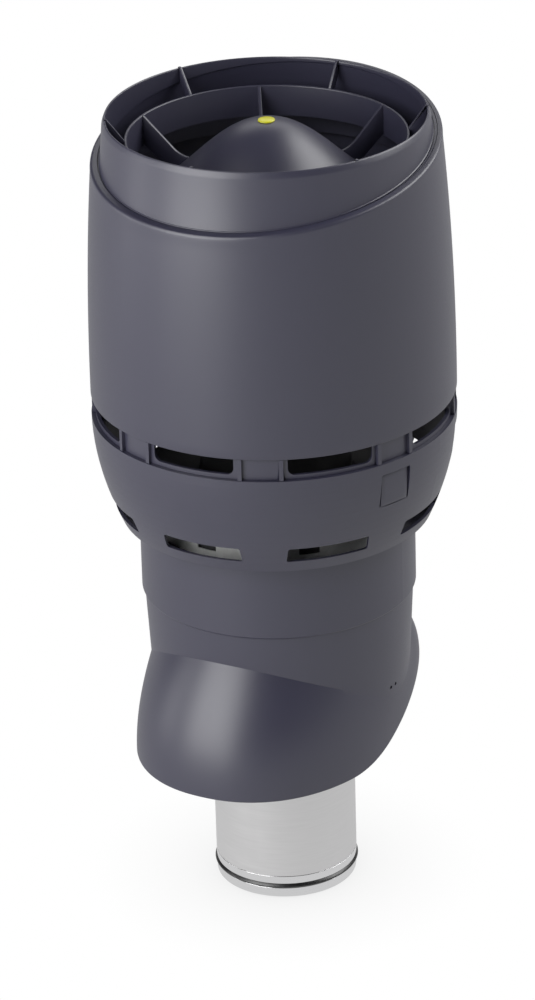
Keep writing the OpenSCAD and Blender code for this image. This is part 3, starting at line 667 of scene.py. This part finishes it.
def build_plug():
    """The yellow plug with a softly domed head."""
    play, middle_r, side_h = 0.1, 0.02, 0.7
    top = DOME_Z + play
    stem_r = POCKET_R - play
    outline = [(middle_r, STEM_Z), (stem_r, STEM_Z), (stem_r, top), (PLUG_R, top)]
    outline += [(PLUG_R * cos(a), top + side_h + (PLUG_T - side_h) * sin(a))
                for a in spaced(0, pi / 2, 8)[:-1]]
    outline.append((middle_r, top + PLUG_T))
    plug = turned("plug_head", outline, YELLOW, "plug", SMALL_N, smooth=50)
    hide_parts("dome_plug")


# Casing with the roof boot

def casing_section(turn):
    """The casing's wall in one closed section: spigot, column, hood and back up its inside."""
    front = turn - radians(FRONT)
    crease = crease_at(front)
    direction = (sin(front), -cos(front))

    def on_column(r, z):
        return (direction[0] * r, direction[1] * r, z)

    rows = 22
    spigot_in = SPIGOT_R - CASING_WALL
    shoulder_z = COLLAR_Z - SMALL_ROUND
    section = [on_column(spigot_in, SPIGOT_TOP_Z), on_column(SPIGOT_R - 0.7, SPIGOT_TOP_Z),
               on_column(SPIGOT_R, SPIGOT_TOP_Z - 0.9), on_column(SPIGOT_R, COLLAR_Z),
               on_column(CASING_TOP_R - SMALL_ROUND, COLLAR_Z),
               on_column(CASING_TOP_R, shoulder_z)]
    section += [on_column(casing_r(z), z) for z in spaced(shoulder_z, crease, 8)[1:-1]]
    section += [boot_point(front, k / rows, 0) for k in range(rows)]
    outer_x, outer_y, edge_z = boot_point(front, 1, 0)
    inner_x, inner_y, inner_edge_z = boot_point(front, 1, CASING_WALL)
    section.append((outer_x, outer_y, edge_z + BOOT_EDGE))
    section.append(boot_point(front, 1, BOOT_EDGE))
    section.append(boot_point(front, 1, CASING_WALL - BOOT_EDGE))
    section.append((inner_x, inner_y, inner_edge_z + BOOT_EDGE))
    section += [boot_point(front, k / rows, CASING_WALL) for k in range(rows - 1, 3, -2)]
    section += [on_column(casing_r(crease) - CASING_WALL, crease + CASING_WALL),
                on_column(spigot_in, COLLAR_Z - CASING_WALL)]
    return section


def drill_fixing_holes(piece):
    """Cuts the small fixing holes through a wall of the casing."""
    for turn in FIX_TURNS:
        bar = round_bar(FIX_HOLE_R, DRILL_L, HOLE_N, FRONT + turn, CASING_LOW_R, FIX_HOLE_Z, "Y")
        hole = bpy.data.meshes.new("fixing_hole")
        bar.to_mesh(hole)
        bar.free()
        bit = add_object("fixing_hole", hole)
        cut = piece.modifiers.new("hole", "BOOLEAN")
        cut.operation = "DIFFERENCE"
        cut.object = bit
        bpy.context.view_layer.update()
        graph = bpy.context.evaluated_depsgraph_get()
        piece.data = bpy.data.meshes.new_from_object(piece.evaluated_get(graph))
        piece.modifiers.clear()
        bpy.data.objects.remove(bit)
    piece.data.set_sharp_from_angle(angle=radians(CRISP_ANGLE))


def build_casing():
    """The casing with its boot, and the column's wall that goes on inside the boot."""
    casing = lofted("casing_skin", casing_section, FINE_N, COWL, "riser", smooth=CRISP_ANGLE)
    drill_fixing_holes(casing)
    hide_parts("casing")
    low_r, top_r = casing_r(STUB_LOW_Z), casing_r(STUB_TOP_Z)
    stub = turned("casing_inner_wall", rounded([
        (low_r - CASING_WALL, STUB_LOW_Z, WIDE_ROUND), (low_r - FIT, STUB_LOW_Z, WIDE_ROUND),
        (top_r - FIT, STUB_TOP_Z), (top_r - CASING_WALL, STUB_TOP_Z)]), COWL, "riser")
    drill_fixing_holes(stub)


# Steel duct

def build_duct():
    """The pipe, the coupling in its mouth and the seal in the coupling's groove."""
    low = COUPLING_H + SEAM
    inside = DUCT_R - DUCT_WALL
    pipe = turned("duct_tube", rounded([
        (inside, low, FINE_ROUND), (DUCT_R, low, FINE_ROUND), (DUCT_R, DUCT_TOP_Z, FINE_ROUND),
        (inside, DUCT_TOP_Z, FINE_ROUND)]), STEEL, "riser")
    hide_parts("duct_pipe")
    body = inside - FIT
    bore = body - COUPLING_WALL
    hem_r = body + HEM_OUT
    groove_top = HEM_H + LIP_H
    coupling_top = COUPLING_H + COUPLING_REACH
    coupling = turned("coupling_ring", rounded([
        (bore, 0, SMALL_ROUND), (hem_r, 0, WIDE_ROUND), (hem_r, HEM_H, 1.2), (body, HEM_H),
        (body, groove_top), (DUCT_R, groove_top, EDGE_ROUND), (DUCT_R, COUPLING_H, FINE_ROUND),
        (body, COUPLING_H), (body, coupling_top), (bore, coupling_top)]), POLISHED, "riser")
    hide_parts("spigot_coupling")
    play = 0.2
    root = body + 0.05
    low = HEM_H + play
    high = groove_top - play
    lip_r = DUCT_R + LIP_REACH
    seal = turned("seal_lip", rounded([
        (root, low), (root + 1, low, SMALL_ROUND), (lip_r, low + 1.2, WIDE_ROUND),
        (lip_r, low + 2.2, WIDE_ROUND), (DUCT_R - play, high - 0.4, SMALL_ROUND),
        (root + 0.6, high, FINE_ROUND), (root, high)]), RUBBER, "riser")
    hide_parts("lip_seal")


def dress_nodes():
    """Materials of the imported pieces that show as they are."""
    looks = {"cowl_base": COWL, "vent_band": COWL, "neck_sleeve": ZINC, "air_nozzle": INNER,
             "insulation_front": FOAM, "insulation_rear": FOAM, "insulation_plate": INNER,
             "dome_screw": FASTENER, "dome_washer": FASTENER, "hub_nut": FASTENER}
    for name, material in looks.items():
        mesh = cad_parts[name].data
        mesh.materials.clear()
        mesh.materials.append(material)


# Studio

def from_camera(x, y, z):
    """A direction or place given as the camera sees it: x right, y away, z up."""
    turn = radians(CAMERA_TURN)
    return Vector((x * cos(turn) - y * sin(turn), x * sin(turn) + y * cos(turn), z))


def add_camera():
    """The camera at the photo's angle, rolled as the photo is."""
    rise, roll = radians(CAMERA_RISE), radians(CAMERA_ROLL)
    forward = from_camera(0, cos(rise), -sin(rise))
    right = from_camera(1, 0, 0)
    up = from_camera(0, sin(rise), cos(rise))
    side = right * cos(roll) - up * sin(roll)
    top = right * sin(roll) + up * cos(roll)
    aim = from_camera(CAMERA_AIM_SIDE, 0, 0) + Vector((0, 0, CAMERA_AIM_Z))
    place = (aim - forward * CAMERA_DISTANCE) * MM
    data = bpy.data.cameras.new("camera")
    data.lens = CAMERA_LENS
    data.clip_end = 100
    camera = add_object("camera", data)
    camera.matrix_world = Matrix((
        (side.x, top.x, -forward.x, place.x), (side.y, top.y, -forward.y, place.y),
        (side.z, top.z, -forward.z, place.z), (0, 0, 0, 1)))
    bpy.context.scene.camera = camera


def add_lamp(name, direction, distance, width, height, power):
    """An area lamp that faces the middle of the part, with its sizes in metres."""
    data = bpy.data.lights.new(name, "AREA")
    data.shape = "RECTANGLE"
    data.size, data.size_y = width, height
    data.energy = power
    lamp = add_object(name, data)
    middle = Vector((0, 0, LAMP_AIM_Z))
    lamp.location = middle + direction.normalized() * distance
    lamp.rotation_euler = (middle - lamp.location).to_track_quat("-Z", "Y").to_euler()


def ray_kind(nodes, links):
    """Two shares: 1 for rays that the camera or glass sees, and 1 for reflected rays."""
    path = nodes.new("ShaderNodeLightPath")
    seen = nodes.new("ShaderNodeMath")
    seen.operation = "MAXIMUM"
    links.new(path.outputs["Is Camera Ray"], seen.inputs[0])
    links.new(path.outputs["Is Transmission Ray"], seen.inputs[1])
    return seen.outputs[0], path.outputs["Is Glossy Ray"]


def glow(nodes, strength):
    """An even white light."""
    light = nodes.new("ShaderNodeEmission")
    light.inputs["Color"].default_value = (*WHITE, 1)
    light.inputs["Strength"].default_value = strength
    return light


def by_ray(nodes, links, seen_light, mirrored_light, other_light):
    """One light for what the camera sees, one for reflections and one for all other rays."""
    seen, mirrored = ray_kind(nodes, links)
    low = nodes.new("ShaderNodeMixShader")
    links.new(mirrored, low.inputs["Fac"])
    links.new(other_light.outputs[0], low.inputs[1])
    links.new(mirrored_light.outputs[0], low.inputs[2])
    high = nodes.new("ShaderNodeMixShader")
    links.new(seen, high.inputs["Fac"])
    links.new(low.outputs[0], high.inputs[1])
    links.new(seen_light.outputs[0], high.inputs[2])
    return high


def add_world():
    """A dim room, darker overhead, that the camera sees as white."""
    world = bpy.data.worlds.new("studio")
    bpy.context.scene.world = world
    world.use_nodes = True
    nodes, links = world.node_tree.nodes, world.node_tree.links
    nodes.clear()
    place = nodes.new("ShaderNodeTexCoord")
    parts = nodes.new("ShaderNodeSeparateXYZ")
    links.new(place.outputs["Generated"], parts.inputs[0])
    fade = nodes.new("ShaderNodeMapRange")
    fade.inputs["From Max"].default_value = MIRROR_FADE
    fade.inputs["To Min"].default_value = MIRRORED_LOW
    fade.inputs["To Max"].default_value = MIRRORED_HIGH
    links.new(parts.outputs["Z"], fade.inputs["Value"])
    mirrored = glow(nodes, 1.0)
    links.new(fade.outputs["Result"], mirrored.inputs["Strength"])
    both = by_ray(nodes, links, glow(nodes, 1.0), mirrored, glow(nodes, ROOM))
    out = nodes.new("ShaderNodeOutputWorld")
    links.new(both.outputs[0], out.inputs["Surface"])


def add_floor():
    """A wide white floor just under the pipe's mouth, a little darker where the part stands."""
    corners = [(x * FLOOR_HALF, y * FLOOR_HALF, -FLOOR_DROP)
               for x, y in ((-1, -1), (1, -1), (1, 1), (-1, 1))]
    mesh = bpy.data.meshes.new("floor")
    mesh.from_pydata(corners, [], [(0, 1, 2, 3)])
    floor = add_object("floor", mesh)
    material = bpy.data.materials.new("white_floor")
    material.use_nodes = True
    nodes, links = material.node_tree.nodes, material.node_tree.links
    nodes.clear()
    paint = nodes.new("ShaderNodeBsdfDiffuse")
    paint.inputs["Color"].default_value = (*scaled(WHITE, FLOOR_GREY), 1)
    seen = glow(nodes, 1.0)
    shade = nodes.new("ShaderNodeAmbientOcclusion")
    shade.samples = SHADOW_SAMPLES
    shade.inputs["Distance"].default_value = SHADOW_REACH
    fade = nodes.new("ShaderNodeMapRange")
    fade.inputs["To Min"].default_value = SHADOW
    links.new(shade.outputs["AO"], fade.inputs["Value"])
    links.new(fade.outputs["Result"], seen.inputs["Strength"])
    both = by_ray(nodes, links, seen, glow(nodes, FLOOR_MIRRORED), paint)
    out = nodes.new("ShaderNodeOutputMaterial")
    links.new(both.outputs[0], out.inputs["Surface"])
    mesh.materials.append(material)


def add_studio():
    """The room, the floor and four soft lamps."""
    bpy.context.scene.view_settings.view_transform = "Standard"
    add_world()
    add_floor()
    add_lamp("key", from_camera(-0.68, -0.62, 0.4),
             distance=2.4, width=1.9, height=2.6, power=64)
    add_lamp("left_fill", from_camera(-1, 0.05, 0.1),
             distance=2.6, width=0.8, height=1.8, power=9)
    add_lamp("top", from_camera(0.75, 0.18, 0.64),
             distance=2.2, width=2.0, height=1.8, power=42)
    add_lamp("back", from_camera(0.1, 0.75, 0.67),
             distance=2.4, width=2.4, height=0.9, power=10)


add_camera()
build_drum()
build_seat_ring()
build_tongues()
build_grille()
build_dome()
build_plug()
build_casing()
build_duct()
dress_nodes()
add_studio()
